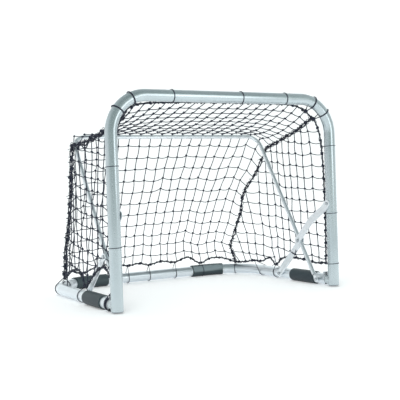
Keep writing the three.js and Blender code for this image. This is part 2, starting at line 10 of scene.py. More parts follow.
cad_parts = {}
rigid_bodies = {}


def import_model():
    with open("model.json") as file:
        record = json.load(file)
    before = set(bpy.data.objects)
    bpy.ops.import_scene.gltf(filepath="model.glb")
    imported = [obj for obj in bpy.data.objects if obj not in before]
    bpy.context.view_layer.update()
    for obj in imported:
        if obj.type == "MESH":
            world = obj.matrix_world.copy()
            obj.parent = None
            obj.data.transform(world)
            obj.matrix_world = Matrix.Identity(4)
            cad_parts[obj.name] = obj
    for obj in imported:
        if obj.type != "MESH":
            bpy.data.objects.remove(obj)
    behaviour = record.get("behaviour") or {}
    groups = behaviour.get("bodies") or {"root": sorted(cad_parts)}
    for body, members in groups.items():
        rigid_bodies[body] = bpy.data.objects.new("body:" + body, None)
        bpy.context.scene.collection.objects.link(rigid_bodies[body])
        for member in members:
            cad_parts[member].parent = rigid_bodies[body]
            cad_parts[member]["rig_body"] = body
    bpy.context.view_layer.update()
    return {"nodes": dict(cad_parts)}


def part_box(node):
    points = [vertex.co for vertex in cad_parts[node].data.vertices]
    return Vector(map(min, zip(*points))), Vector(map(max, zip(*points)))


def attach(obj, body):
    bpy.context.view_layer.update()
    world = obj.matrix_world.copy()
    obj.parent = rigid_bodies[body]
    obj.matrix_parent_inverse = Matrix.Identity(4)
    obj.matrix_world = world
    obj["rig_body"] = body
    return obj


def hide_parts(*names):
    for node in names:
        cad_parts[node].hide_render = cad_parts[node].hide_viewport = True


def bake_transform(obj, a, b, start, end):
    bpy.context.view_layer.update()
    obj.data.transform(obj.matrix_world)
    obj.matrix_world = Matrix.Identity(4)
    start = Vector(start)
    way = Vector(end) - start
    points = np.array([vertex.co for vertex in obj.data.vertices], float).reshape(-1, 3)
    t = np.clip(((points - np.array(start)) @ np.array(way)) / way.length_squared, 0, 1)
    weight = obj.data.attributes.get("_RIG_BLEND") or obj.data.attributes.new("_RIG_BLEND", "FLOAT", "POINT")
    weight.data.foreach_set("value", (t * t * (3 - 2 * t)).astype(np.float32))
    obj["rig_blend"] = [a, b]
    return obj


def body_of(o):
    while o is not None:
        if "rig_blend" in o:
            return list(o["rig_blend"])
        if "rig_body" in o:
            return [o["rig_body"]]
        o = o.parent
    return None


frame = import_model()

# Sizes of the object in metres.
TUBE_RADIUS = 0.024
TUBE_WALL = 0.002
CORNER_RADIUS = 0.150
BASE_CORNER_RADIUS = 0.205
SUPPORT_RADIUS = 0.009
SUPPORT_WALL = 0.0015
SUPPORT_CORNER_RADIUS = 0.060
LUG_THICKNESS = 0.005
LUG_WIDTH = 0.025
LUG_LENGTH = 0.034
BOLT_HOLE_RADIUS = 0.0043
COPE_GAP = 0.0003
CAD_FACET = math.cos(math.pi / 24)
SLEEVE_RADIUS = 0.029 * CAD_FACET

# Sizes of the net's cords.
CORD_RADIUS = 0.0019
KNOT_RADIUS = 0.0034
KNOT_CORD_RADIUS = 0.0028
ROPE_RADIUS = 0.0034
LACING_RADIUS = 0.0013
TIE_RADIUS = 0.0014
THICK_TIE_RADIUS = 0.0022

# How far apart the knots are along the laced seams and along the plain edge ropes.
KNOT_STEP = 0.042
EDGE_KNOT_STEP = 0.056

SIDES = (("left", -1), ("right", 1))
rng = np.random.default_rng(7)


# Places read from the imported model.

def middle(node):
    low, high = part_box(node)
    return (low + high) / 2


POST_X = middle("post_foot_plug_right").x
POST_Y = middle("post_foot_plug_right").y
CROSSBAR_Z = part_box("goal_frame_tube")[1].z - TUBE_RADIUS * CAD_FACET
POST_FOOT_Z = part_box("goal_frame_tube")[0].z
BASE_Z = middle("base_frame_tube").z
ARM_START_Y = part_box("base_frame_tube")[0].y
REAR_BAR_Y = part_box("base_frame_tube")[1].y - TUBE_RADIUS * CAD_FACET
SUPPORT_FOOT = middle("support_bolt_right")
SUPPORT_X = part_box("support_frame_tube")[1].x - SUPPORT_RADIUS
SUPPORT_TOP_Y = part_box("support_frame_tube")[1].y - SUPPORT_RADIUS
SUPPORT_TOP_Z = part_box("support_frame_tube")[1].z - SUPPORT_RADIUS
SEAM_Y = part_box("foot_stub_right")[1].y


# Camera and studio.

CAMERA_PLACE = Vector((-1.7354, -3.1045, 0.4941))
CAMERA_YAW = math.radians(30.28)
CAMERA_PITCH = math.radians(1.50)
CAMERA_ROLL = math.radians(-1.98)
CAMERA_LENS = 71.0
SENSOR_WIDTH = 36.0
FLOOR_DIM_Y = -2.8
FLOOR_BRIGHT_Y = 5.0


def make_camera():
    forward = Vector((math.sin(CAMERA_YAW) * math.cos(CAMERA_PITCH),
                      math.cos(CAMERA_YAW) * math.cos(CAMERA_PITCH),
                      -math.sin(CAMERA_PITCH)))
    level = Vector((math.cos(CAMERA_YAW), -math.sin(CAMERA_YAW), 0))
    upright = level.cross(forward)
    right = math.cos(CAMERA_ROLL) * level + math.sin(CAMERA_ROLL) * upright
    up = -math.sin(CAMERA_ROLL) * level + math.cos(CAMERA_ROLL) * upright
    data = bpy.data.cameras.new("camera")
    data.lens = CAMERA_LENS
    data.sensor_width = SENSOR_WIDTH
    camera = bpy.data.objects.new("camera", data)
    camera.matrix_world = Matrix((right, up, -forward)).transposed().to_4x4()
    camera.location = CAMERA_PLACE
    bpy.context.collection.objects.link(camera)
    bpy.context.scene.camera = camera


def make_light(name, place, target, size, power, reflected):
    """A soft panel. The ones that are not reflected only light the cloth, rubber and floor."""
    data = bpy.data.lights.new(name, "AREA")
    data.shape = "RECTANGLE"
    data.size = size[0]
    data.size_y = size[1]
    data.energy = power
    light = bpy.data.objects.new(name, data)
    light.location = place
    light.rotation_euler = (Vector(target) - Vector(place)).to_track_quat("-Z", "Y").to_euler()
    light.visible_glossy = reflected
    bpy.context.collection.objects.link(light)


def make_world():
    """A studio that is white behind the goal, dim in front of it and dim overhead."""
    world = bpy.data.worlds.new("studio")
    world.use_nodes = True
    bpy.context.scene.world = world
    tree = world.node_tree
    background = tree.nodes["Background"]
    coordinates = tree.nodes.new("ShaderNodeTexCoord")

    def direction_ramp(towards, *stops):
        dot = tree.nodes.new("ShaderNodeVectorMath")
        dot.operation = "DOT_PRODUCT"
        dot.inputs[1].default_value = towards
        spread = tree.nodes.new("ShaderNodeMapRange")
        spread.inputs["From Min"].default_value = -1.0
        ramp = tree.nodes.new("ShaderNodeValToRGB")
        elements = ramp.color_ramp.elements
        while len(elements) < len(stops):
            elements.new(0.5)
        for element, (position, colour) in zip(elements, stops):
            element.position = position
            element.color = (*colour, 1)
        tree.links.new(coordinates.outputs["Generated"], dot.inputs[0])
        tree.links.new(dot.outputs["Value"], spread.inputs["Value"])
        tree.links.new(spread.outputs["Result"], ramp.inputs["Fac"])
        return ramp.outputs["Color"]

    around = direction_ramp((0.12, 0.99, 0.0), (0.0, (0.42, 0.48, 0.46)), (0.22, (0.54, 0.60, 0.59)),
                            (0.50, (0.94, 0.97, 0.97)), (0.72, (1.0, 1.0, 1.0)))
    overhead = direction_ramp((0.0, 0.0, 1.0), (0.55, (1.0, 1.0, 1.0)), (0.72, (0.84, 0.87, 0.87)),
                              (0.95, (0.42, 0.47, 0.47)))
    mix = tree.nodes.new("ShaderNodeMix")
    mix.data_type = "RGBA"
    mix.blend_type = "MULTIPLY"
    mix.inputs["Factor"].default_value = 1.0
    tree.links.new(around, mix.inputs["A"])
    tree.links.new(overhead, mix.inputs["B"])
    tree.links.new(mix.outputs["Result"], background.inputs["Color"])


def make_floor():
    """A pale floor that rises into a backdrop behind the goal."""
    half_width = 14.0
    front = -9.0
    back = 12.0
    bend = 4.0
    height = 9.0
    profile = [(front, 0.0), (back - bend, 0.0)]
    steps = 16
    for step in range(1, steps + 1):
        angle = math.pi / 2 * step / steps
        profile.append((back - bend + bend * math.sin(angle), bend - bend * math.cos(angle)))
    profile.append((back, height))
    points = [(x, y, z) for y, z in profile for x in (-half_width, half_width)]
    faces = [(2 * i, 2 * i + 1, 2 * i + 3, 2 * i + 2) for i in range(len(profile) - 1)]
    mesh = bpy.data.meshes.new("floor")
    mesh.from_pydata(points, [], faces)
    mesh.shade_smooth()
    mesh.materials.append(floor_material())
    floor = bpy.data.objects.new("floor", mesh)
    turn = Matrix.Rotation(-CAMERA_YAW, 4, "Z")
    floor.matrix_world = turn
    bpy.context.collection.objects.link(floor)


# Materials.

class Material:
    """A node material with short ways to add and join nodes."""

    def __init__(self, name, roughness, metallic=0.0, specular=0.5):
        self.material = bpy.data.materials.new(name)
        self.material.use_nodes = True
        self.tree = self.material.node_tree
        self.shader = self.tree.nodes["Principled BSDF"]
        self.shader.inputs["Roughness"].default_value = roughness
        self.shader.inputs["Metallic"].default_value = metallic
        self.shader.inputs["Specular IOR Level"].default_value = specular

    def node(self, kind, **values):
        made = self.tree.nodes.new(kind)
        for name, value in values.items():
            setattr(made, name, value)
        return made

    def join(self, output, target):
        self.tree.links.new(output, target)

    def coordinates(self, output, scale):
        source = self.node("ShaderNodeTexCoord")
        mapping = self.node("ShaderNodeMapping")
        mapping.inputs["Scale"].default_value = scale
        self.join(source.outputs[output], mapping.inputs["Vector"])
        return mapping.outputs["Vector"]

    def noise(self, vector, scale, detail=3.0, roughness=0.5):
        noise = self.node("ShaderNodeTexNoise")
        noise.inputs["Scale"].default_value = scale
        noise.inputs["Detail"].default_value = detail
        noise.inputs["Roughness"].default_value = roughness
        self.join(vector, noise.inputs["Vector"])
        return noise.outputs["Fac"]

    def ramp(self, value, *stops):
        ramp = self.node("ShaderNodeValToRGB")
        elements = ramp.color_ramp.elements
        while len(elements) < len(stops):
            elements.new(0.5)
        for element, (position, colour) in zip(elements, stops):
            element.position = position
            element.color = (*colour, 1)
        self.join(value, ramp.inputs["Fac"])
        return ramp.outputs["Color"]

    def spread(self, value, low, high):
        """A value from 0 to 1 spread over another range."""
        mapped = self.node("ShaderNodeMapRange")
        mapped.inputs["To Min"].default_value = low
        mapped.inputs["To Max"].default_value = high
        self.join(value, mapped.inputs["Value"])
        return mapped.outputs["Result"]

    def add(self, first, second):
        total = self.node("ShaderNodeMath", operation="ADD")
        self.join(first, total.inputs[0])
        self.join(second, total.inputs[1])
        return total.outputs[0]

    def bump(self, height, strength, distance):
        bump = self.node("ShaderNodeBump")
        bump.inputs["Strength"].default_value = strength
        bump.inputs["Distance"].default_value = distance
        self.join(height, bump.inputs["Height"])
        self.join(bump.outputs["Normal"], self.shader.inputs["Normal"])


def floor_material():
    """Matt white with a painted glow like a light table: emission, duller in front out of view and full behind
    the goal.
    """
    made = Material("pale_floor", 0.9, specular=0.1)
    grain = made.noise(made.coordinates("Object", (1, 1, 1)), 1.5)
    made.join(made.ramp(grain, (0.3, (0.90, 0.905, 0.91)), (0.7, (0.93, 0.935, 0.94))),
              made.shader.inputs["Base Color"])
    separate = made.node("ShaderNodeSeparateXYZ")
    made.join(made.coordinates("Object", (1, 1, 1)), separate.inputs[0])
    depth = made.node("ShaderNodeMapRange")
    depth.inputs["From Min"].default_value = FLOOR_DIM_Y
    depth.inputs["From Max"].default_value = FLOOR_BRIGHT_Y
    made.join(separate.outputs["Y"], depth.inputs["Value"])
    # Painted glow: the emission colour rises from dim at the front to white at the back.
    made.join(made.ramp(depth.outputs["Result"], (0.0, (0.10, 0.11, 0.12)), (0.13, (0.30, 0.30, 0.30)),
                        (1.0, (1.0, 1.0, 1.0))), made.shader.inputs["Emission Color"])
    made.shader.inputs["Emission Strength"].default_value = 0.47
    return made.material


def tube_metal(name, dark, light, roughness, length_scale):
    """Satin anodised aluminium: fine draw lines along the tube and soft clouds."""
    made = Material(name, roughness, metallic=0.92)
    lines = made.noise(made.coordinates("UV", (length_scale, 90, 1)), 1.0, detail=2)
    clouds = made.noise(made.coordinates("Object", (1, 1, 1)), 6.0, detail=2)
    tone = made.add(made.spread(clouds, 0.0, 0.85), made.spread(lines, 0.0, 0.15))
    made.join(made.ramp(tone, (0.25, dark), (0.75, light)), made.shader.inputs["Base Color"])
    wear = made.add(made.spread(lines, roughness - 0.02, roughness + 0.02),
                    made.spread(clouds, -0.02, 0.03))
    made.join(wear, made.shader.inputs["Roughness"])
    made.bump(lines, 0.02, 0.0002)
    return made.material


def plain_metal(name, dark, light, roughness):
    """Plated or bare metal for the small fittings, a little worn."""
    made = Material(name, roughness, metallic=0.95)
    clouds = made.noise(made.coordinates("Object", (1, 1, 1)), 60.0, detail=4)
    grain = made.noise(made.coordinates("Object", (1, 1, 1)), 900.0, detail=2)
    made.join(made.ramp(clouds, (0.3, dark), (0.7, light)), made.shader.inputs["Base Color"])
    made.join(made.spread(clouds, roughness - 0.08, roughness + 0.1), made.shader.inputs["Roughness"])
    made.bump(grain, 0.15, 0.0002)
    return made.material


# The sleeves are painted lighter on the side that faces this way, their upper front: a painted highlight.
SLEEVE_HIGHLIGHT_WAY = (0.0, -0.89, 0.46)


def sleeve_rubber(name, band):
    """Dark slate foam rubber with a fine leathery skin; its colour is painted lighter where it faces the given
    way and darker where it faces away: painted highlight and painted shade.
    """
    made = Material(name, 0.45, specular=0.4)
    clouds = made.noise(made.coordinates("Object", (1, 1, 1)), 18.0, detail=4)
    grain = made.noise(made.coordinates("Object", (1, 1, 1)), 420.0, detail=3)
    # Painted light: the tone follows which way the surface faces.
    facing = made.node("ShaderNodeVectorMath", operation="DOT_PRODUCT")
    facing.inputs[1].default_value = SLEEVE_HIGHLIGHT_WAY
    made.join(made.node("ShaderNodeNewGeometry").outputs["Normal"], facing.inputs[0])
    tone = made.add(made.spread(clouds, 0.0, 0.1), facing.outputs["Value"])
    made.join(made.ramp(tone, (0.0, (0.018, 0.032, 0.042)), (0.80, (0.040, 0.062, 0.070)), (0.98, band)),
              made.shader.inputs["Base Color"])
    made.join(made.spread(grain, 0.38, 0.58), made.shader.inputs["Roughness"])
    made.bump(grain, 0.25, 0.0006)
    return made.material


def plug_plastic():
    made = Material("plug_plastic", 0.55)
    clouds = made.noise(made.coordinates("Object", (1, 1, 1)), 40.0)
    grain = made.noise(made.coordinates("Object", (1, 1, 1)), 700.0)
    made.join(made.ramp(clouds, (0.3, (0.20, 0.23, 0.25)), (0.7, (0.26, 0.29, 0.31))),
              made.shader.inputs["Base Color"])
    made.bump(grain, 0.2, 0.0003)
    return made.material


def net_twine(name, dark, light, turns):
    """Twisted twine: slanting strands, loose fibres and soft clouds of tone."""
    made = Material(name, 0.82, specular=0.25)
    made.shader.inputs["Sheen Weight"].default_value = 0.25
    made.shader.inputs["Sheen Roughness"].default_value = 0.5
    twist = made.node("ShaderNodeTexWave", wave_type="BANDS", bands_direction="DIAGONAL")
    twist.inputs["Scale"].default_value = turns
    twist.inputs["Distortion"].default_value = 0.8
    made.join(made.coordinates("UV", (90, 1, 1)), twist.inputs["Vector"])
    fibres = made.noise(made.coordinates("Object", (1, 1, 1)), 900.0, detail=3)
    clouds = made.noise(made.coordinates("Object", (1, 1, 1)), 14.0, detail=3)
    tone = made.add(made.spread(clouds, 0.0, 0.6), made.spread(twist.outputs["Fac"], 0.0, 0.4))
    made.join(made.ramp(tone, (0.25, dark), (0.75, light)), made.shader.inputs["Base Color"])
    made.bump(made.add(made.spread(twist.outputs["Fac"], 0.0, 0.7), made.spread(fibres, 0.0, 0.3)),
              0.5, 0.0006)
    return made.material


def slot_materials():
    return {
        # The goal tube and the base tube are one anodised finish; the goal tube's copy is painted darker,
        # painted shade that dims its reflections.
        "tube": tube_metal("anodised_tube", (0.51, 0.58, 0.61), (0.61, 0.68, 0.71), 0.25, 3),
        "base_tube": tube_metal("base_tube", (0.72, 0.78, 0.82), (0.84, 0.89, 0.93), 0.32, 3),
        "bar": tube_metal("bright_bar", (0.80, 0.85, 0.89), (0.90, 0.94, 0.97), 0.36, 5),
        "steel": plain_metal("plated_steel", (0.42, 0.45, 0.48), (0.60, 0.63, 0.66), 0.32),
        "dark_steel": plain_metal("dark_steel", (0.05, 0.06, 0.07), (0.10, 0.11, 0.12), 0.42),
        # Both sleeve finishes carry a painted highlight on their upper front; the second one's is much
        # brighter.
        "sleeve": sleeve_rubber("sleeve_rubber", (0.060, 0.085, 0.095)),
        "rear_sleeve": sleeve_rubber("highlit_sleeve_rubber", (0.26, 0.32, 0.34)),
        "plug": plug_plastic(),
        "net": net_twine("net_twine", (0.007, 0.010, 0.025), (0.019, 0.026, 0.056), 3),
    }


# Mesh building.

class Shape:
    """The points, faces and UVs of one mesh."""

    def __init__(self):
        self.points = []
        self.faces = []
        self.uvs = []
        self.count = 0

    def add_points(self, points):
        first = self.count
        self.points.append(np.asarray(points, float).reshape(-1, 3))
        self.count += len(self.points[-1])
        return first

    def add_face(self, corners, uvs=None):
        self.faces.append(tuple(corners))
        self.uvs.append(uvs or [(0.0, 0.0)] * len(corners))

    def add_rings(self, rings, lengths, closed=False, caps=True):
        """Joins rings of points into a skin. Each ring turns anticlockwise seen from ahead of it."""
        count, sides = rings.shape[:2]
        first = self.add_points(rings)
        for i in range(count if closed else count - 1):
            near = first + i * sides
            far = first + (i + 1) % count * sides
            v0 = lengths[i]
            v1 = lengths[i + 1] if i + 1 < count else lengths[i] + (lengths[i] - lengths[i - 1])
            for j in range(sides):
                k = (j + 1) % sides
                u0 = j / sides
                u1 = (j + 1) / sides
                self.add_face((near + j, near + k, far + k, far + j),
                              [(v0, u0), (v0, u1), (v1, u1), (v1, u0)])
        if caps and not closed:
            self.add_face(range(first + sides - 1, first - 1, -1))
            last = first + (count - 1) * sides
            self.add_face(range(last, last + sides))
        return first

    def to_object(self, name, material, sharp_angle=40):
        mesh = bpy.data.meshes.new(name)
        mesh.from_pydata(np.concatenate(self.points).tolist(), [], self.faces)
        layer = mesh.uv_layers.new(name="UVMap")
        flat = np.array([uv for face in self.uvs for uv in face], np.float32)
        layer.data.foreach_set("uv", flat.reshape(-1))
        mesh.materials.append(material)
        mesh.shade_smooth()
        mesh.set_sharp_from_angle(angle=math.radians(sharp_angle))
        made = bpy.data.objects.new(name, mesh)
        bpy.context.collection.objects.link(made)
        return made


def unit(vector):
    return vector / np.linalg.norm(vector)


def frames_along(points, closed=False):
    """The heading at each point and two side directions that turn as little as they can."""
    if closed:
        heading = np.roll(points, -1, axis=0) - np.roll(points, 1, axis=0)
    else:
        heading = np.gradient(points, axis=0)
    heading /= np.linalg.norm(heading, axis=1)[:, None]
    spare = np.array((0.0, 0.0, 1.0)) if abs(heading[0][2]) < 0.9 else np.array((1.0, 0.0, 0.0))
    side = unit(np.cross(heading[0], spare))
    across = []
    for direction in heading:
        side = unit(side - direction * (side @ direction))
        across.append(side)
    across = np.array(across)
    return heading, across, np.cross(heading, across)


def distances(points):
    return np.concatenate([[0.0], np.cumsum(np.linalg.norm(np.diff(points, axis=0), axis=1))])


def rings_along(points, radius, sides, closed=False, flat=1.0):
    """Rings round a line; radius may be one number or one for each point, and flat thins the rings."""
    _, across, over = frames_along(points, closed)
    radii = np.broadcast_to(np.asarray(radius, float), (len(points),))
    angles = 2 * np.pi * np.arange(sides) / sides
    circle = (np.cos(angles)[None, :, None] * across[:, None, :]
              + flat * np.sin(angles)[None, :, None] * over[:, None, :])
    return points[:, None, :] + radii[:, None, None] * circle


def add_cord(shape, points, radius, sides=6, closed=False):
    points = np.asarray(points, float)
    shape.add_rings(rings_along(points, radius, sides, closed), distances(points), closed)


def add_pipe(shape, points, outer, inner, sides):
    """A tube with a wall and open ends whose lips are slightly rounded."""
    points = np.asarray(points, float)
    skin = rings_along(points, outer, sides)
    bore = rings_along(points, inner, sides)
    lengths = distances(points)
    first = shape.add_rings(skin, lengths, caps=False)
    within = shape.add_rings(bore[:, ::-1], lengths, caps=False)
    last = (len(points) - 1) * sides
    for j in range(sides):
        k = (j + 1) % sides
        a, b = sides - 1 - j, sides - 1 - k
        shape.add_face((first + k, first + j, within + a, within + b))
        shape.add_face((first + last + j, first + last + k, within + last + b, within + last + a))


def rounded_path(corners, radius, steps):
    """Straight runs joined by round bends."""
    corners = [Vector(corner) for corner in corners]
    path = [corners[0]]
    for before, corner, after in zip(corners, corners[1:], corners[2:]):
        along = (corner - before).normalized()
        onward = (after - corner).normalized()
        turn = along.angle(onward)
        start = corner - along * radius * math.tan(turn / 2)
        inward = (onward - along * onward.dot(along)).normalized()
        centre = start + inward * radius
        for step in range(steps + 1):
            angle = turn * step / steps
            path.append(centre + along * radius * math.sin(angle) - inward * radius * math.cos(angle))
    path.append(corners[-1])
    return np.array(path)


def smooth_line(points, step):
    """A smooth curve through given points, with points about step apart."""
    points = np.asarray(points, float)
    padded = np.vstack([2 * points[0] - points[1], points, 2 * points[-1] - points[-2]])
    curve = []
    for i in range(1, len(padded) - 2):
        p0, p1, p2, p3 = padded[i - 1:i + 3]
        share = np.linspace(0, 1, 12, endpoint=False)[:, None]
        curve.append(0.5 * (2 * p1 + (p2 - p0) * share + (2 * p0 - 5 * p1 + 4 * p2 - p3) * share ** 2
                            + (3 * p1 - 3 * p2 + p3 - p0) * share ** 3))
    curve = np.vstack([*curve, points[-1:]])
    return respaced(curve, max(2, int(distances(curve)[-1] / step) + 1))


def respaced(line, count):
    """The same line with count points, evenly spaced."""
    along = distances(line)
    at = np.linspace(0, along[-1], count)
    return np.stack([np.interp(at, along, line[:, axis]) for axis in range(3)], axis=1)


def place(piece, body, slot, *nodes):
    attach(piece, body)
    if nodes:
        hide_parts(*nodes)


# Metal frames.

def goal_frame(finish):
    path = rounded_path([(-POST_X, POST_Y, POST_FOOT_Z), (-POST_X, POST_Y, CROSSBAR_Z),
                         (POST_X, POST_Y, CROSSBAR_Z), (POST_X, POST_Y, POST_FOOT_Z)], CORNER_RADIUS, 28)
    shape = Shape()
    add_pipe(shape, path, TUBE_RADIUS, TUBE_RADIUS - TUBE_WALL, 64)
    place(shape.to_object("goal_tube", finish), "front_frame", "tube", "goal_frame_tube")


def base_frame(finish):
    path = rounded_path([(-POST_X, ARM_START_Y, BASE_Z), (-POST_X, REAR_BAR_Y, BASE_Z),
                         (POST_X, REAR_BAR_Y, BASE_Z), (POST_X, ARM_START_Y, BASE_Z)],
                        BASE_CORNER_RADIUS, 28)
    shape = Shape()
    add_pipe(shape, path, TUBE_RADIUS, TUBE_RADIUS - TUBE_WALL, 64)
    place(shape.to_object("base_tube", finish), "base_frame", "tube", "base_frame_tube")


def foot_stub(side, sign, finish):
    """The short tube behind a post, coped to fit round it."""
    sides = 64
    angles = 2 * np.pi * np.arange(sides) / sides
    shape = Shape()
    rings = []
    for radius in (TUBE_RADIUS, TUBE_RADIUS - TUBE_WALL):
        offset = radius * np.cos(angles)
        height = BASE_Z + radius * np.sin(angles)
        cope = np.sqrt(np.maximum((TUBE_RADIUS + COPE_GAP) ** 2 - offset ** 2, 0))
        front = np.stack([sign * POST_X + offset, POST_Y + cope, height], axis=1)
        rear = np.stack([sign * POST_X + offset, np.full(sides, SEAM_Y), height], axis=1)
        rings.append(np.stack([rear, front]))
    lengths = [0, SEAM_Y - POST_Y]
    first = shape.add_rings(rings[0], lengths, caps=False)
    within = shape.add_rings(rings[1][:, ::-1], lengths, caps=False)
    for j in range(sides):
        k = (j + 1) % sides
        a, b = sides - 1 - j, sides - 1 - k
        shape.add_face((first + k, first + j, within + a, within + b))
        shape.add_face((first + sides + j, first + sides + k, within + sides + b, within + sides + a))
    place(shape.to_object(f"foot_stub_tube_{side}", finish), "front_frame", "tube", f"foot_stub_{side}")


def support_frame(finish):
    """The thin bent tube whose leg ends are pressed flat into drilled lugs."""
    foot = np.array(SUPPORT_FOOT)
    top = np.array((SUPPORT_X, SUPPORT_TOP_Y, SUPPORT_TOP_Z))
    up = unit(np.array((0, top[1] - foot[1], top[2] - foot[2])))
    legs = [(sign * SUPPORT_X, foot[1] + up[1] * LUG_LENGTH * 0.75, foot[2] + up[2] * LUG_LENGTH * 0.75)
            for _, sign in SIDES]
    path = rounded_path([legs[0], (-top[0], top[1], top[2]), (top[0], top[1], top[2]), legs[1]],
                        SUPPORT_CORNER_RADIUS, 20)
    shape = Shape()
    add_pipe(shape, path, SUPPORT_RADIUS, SUPPORT_RADIUS - SUPPORT_WALL, 40)
    for _, sign in SIDES:
        add_lug(shape, sign, foot, up)
    made = shape.to_object("support_tube", finish, sharp_angle=35)
    place(made, "support_frame", "bar", "support_frame_tube")


def add_lug(shape, sign, foot, up):
    """One pressed leg end: a rounded plate with a bolt hole, narrowing towards the round tube."""
    level = np.array((0, -up[2], up[1]))
    out = np.array((1.0, 0.0, 0.0))
    centre = np.array((sign * SUPPORT_X, foot[1], foot[2]))
    sides = 48
    angles = 2 * np.pi * np.arange(sides) / sides
    half = LUG_WIDTH / 2
    outline = np.stack([-half * np.cos(angles), half * np.sin(angles)], axis=1)
    forward = outline[:, 0] > 0
    outline[forward, 0] *= LUG_LENGTH * 0.95 / half
    narrowing = 1 - 0.3 * np.clip(outline[:, 0] / LUG_LENGTH, 0, 1)
    outline[:, 1] *= narrowing
    hole = BOLT_HOLE_RADIUS * np.stack([-np.cos(angles), np.sin(angles)], axis=1)
    layers = []
    edge = 0.0008
    half_thick = LUG_THICKNESS / 2
    for flat_outline, shrink, height in ((hole, 1.0, -half_thick), (outline, 1 - edge / half, -half_thick),
                                         (outline, 1.0, -half_thick + edge), (outline, 1.0, half_thick - edge),
                                         (outline, 1 - edge / half, half_thick), (hole, 1.0, half_thick)):
        flat = flat_outline * shrink
        layers.append(centre + flat[:, :1] * up + flat[:, 1:] * level + height * out)
    rings = np.array(layers)
    shape.add_rings(rings, list(range(len(rings))), closed=True)


# Sleeves.

def sleeve(name, line, node, rubber):
    """A soft sleeve on a tube: rounded lips and a slight belly."""
    line = np.asarray(line, float)
    along = distances(line)
    length = along[-1]
    lip = 0.005
    radii = []
    inner = TUBE_RADIUS + COPE_GAP
    for at in along:
        from_end = min(at, length - at)
        rise = math.sqrt(max(0.0, 1 - (1 - min(from_end / lip, 1)) ** 2))
        belly = 0.0004 * math.sin(math.pi * at / length)
        radii.append(inner + 0.0006 + (SLEEVE_RADIUS - inner - 0.0006) * rise + belly - 0.0002)
    sides = 64
    shape = Shape()
    skin = rings_along(line, np.array(radii), sides)
    bore = rings_along(line, inner, sides)
    rings = np.concatenate([skin, bore[::-1]])
    lengths = list(along) + list(along[::-1] + 0.01)
    shape.add_rings(rings, lengths, closed=True)
    made = shape.to_object(name, rubber, sharp_angle=60)
    place(made, "base_frame", "sleeve", node)


def sleeve_line(corners, radius, start, end):
    """The stretch of a bent path between two distances along it, with fine steps at both lips."""
    path = rounded_path(corners, radius, 40)
    path = respaced(path, 1200)
    along = distances(path)
    length = end - start
    lip_steps = [0.0, 0.0002, 0.0006, 0.0012, 0.002, 0.003, 0.004, 0.005]
    body = np.linspace(0.005, length - 0.005, 30)[1:-1]
    steps = np.concatenate([lip_steps, body, length - np.array(lip_steps[::-1])])
    return np.stack([np.interp(start + steps, along, path[:, axis]) for axis in range(3)], axis=1)


def sleeves(rubber, highlit_rubber):
    for side, sign in SIDES:
        low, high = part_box(f"arm_sleeve_{side}")
        corners = [(sign * POST_X, low.y, BASE_Z), (sign * POST_X, high.y, BASE_Z)]
        line = sleeve_line(corners, 0, 0, high.y - low.y)
        sleeve(f"arm_sleeve_foam_{side}", line, f"arm_sleeve_{side}", rubber)
        low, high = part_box(f"rear_sleeve_{side}")
        start_x = min(abs(low.x), abs(high.x))
        end_x = max(abs(low.x), abs(high.x))
        corners = [(sign * start_x, REAR_BAR_Y, BASE_Z), (sign * POST_X, REAR_BAR_Y, BASE_Z),
                   (sign * POST_X, ARM_START_Y, BASE_Z)]
        straight = POST_X - BASE_CORNER_RADIUS - start_x
        bent = BASE_CORNER_RADIUS * math.radians(2 * 90 / 7)
        line = sleeve_line(corners, BASE_CORNER_RADIUS, 0, straight + bent)
        # The right rear sleeve gets the brighter painted highlight.
        rear_rubber = highlit_rubber if sign > 0 else rubber
        sleeve(f"rear_sleeve_foam_{side}", line, f"rear_sleeve_{side}", rear_rubber)


# Small fittings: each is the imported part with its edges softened.

def softened(node, material, width, slot, angle=28):
    """A copy of a CAD node with small rounded edges, standing in for it."""
    source = frame["nodes"][node]
    body = body_of(source)[0]
    work = bmesh.new()
    work.from_mesh(source.data)
    bmesh.ops.remove_doubles(work, verts=work.verts, dist=1e-6)
    bmesh.ops.dissolve_limit(work, angle_limit=math.radians(1.0), verts=work.verts, edges=work.edges)
    edges = [edge for edge in work.edges
             if len(edge.link_faces) == 2 and edge.calc_face_angle(0) > math.radians(angle)]
    bmesh.ops.bevel(work, geom=edges, offset=width, segments=2, profile=0.6, affect="EDGES",
                    clamp_overlap=True)
    mesh = bpy.data.meshes.new(f"{node}_finished")
    work.to_mesh(mesh)
    work.free()
    mesh.materials.clear()
    mesh.materials.append(material)
    mesh.shade_smooth()
    mesh.set_sharp_from_angle(angle=math.radians(50))
    made = bpy.data.objects.new(f"{node}_finished", mesh)
    bpy.context.collection.objects.link(made)
    place(made, body, slot, node)


def fittings(finishes):
    kinds = (("post_foot_plug", 0.0006, "plug"), ("arm_end_plug", 0.0004, "plug"),
             ("front_hinge_leaf", 0.0006, "steel"), ("rear_hinge_leaf", 0.0006, "steel"),
             ("hinge_pin", 0.0004, "dark_steel"), ("foot_lock_pin", 0.0004, "dark_steel"),
             ("upper_brace", 0.0006, "bar"), ("lower_brace", 0.0006, "bar"),
             ("support_bolt", 0.0005, "steel"), ("support_spacer", 0.0004, "steel"),
             ("lower_brace_bolt", 0.0005, "steel"), ("lower_brace_spacer", 0.0004, "steel"),
             ("upper_brace_bolt", 0.0005, "steel"), ("elbow_bolt", 0.0005, "steel"),
             ("elbow_nut", 0.0005, "steel"))
    for side, _ in SIDES:
        for kind, width, slot in kinds:
            softened(f"{kind}_{side}", finishes[slot], width, slot)


# The net's edges, as curves through listed points.

NET_COLUMNS = 20
TOP_ROWS = 9
BACK_ROWS = 12
NET_FRONT_Y = -0.356

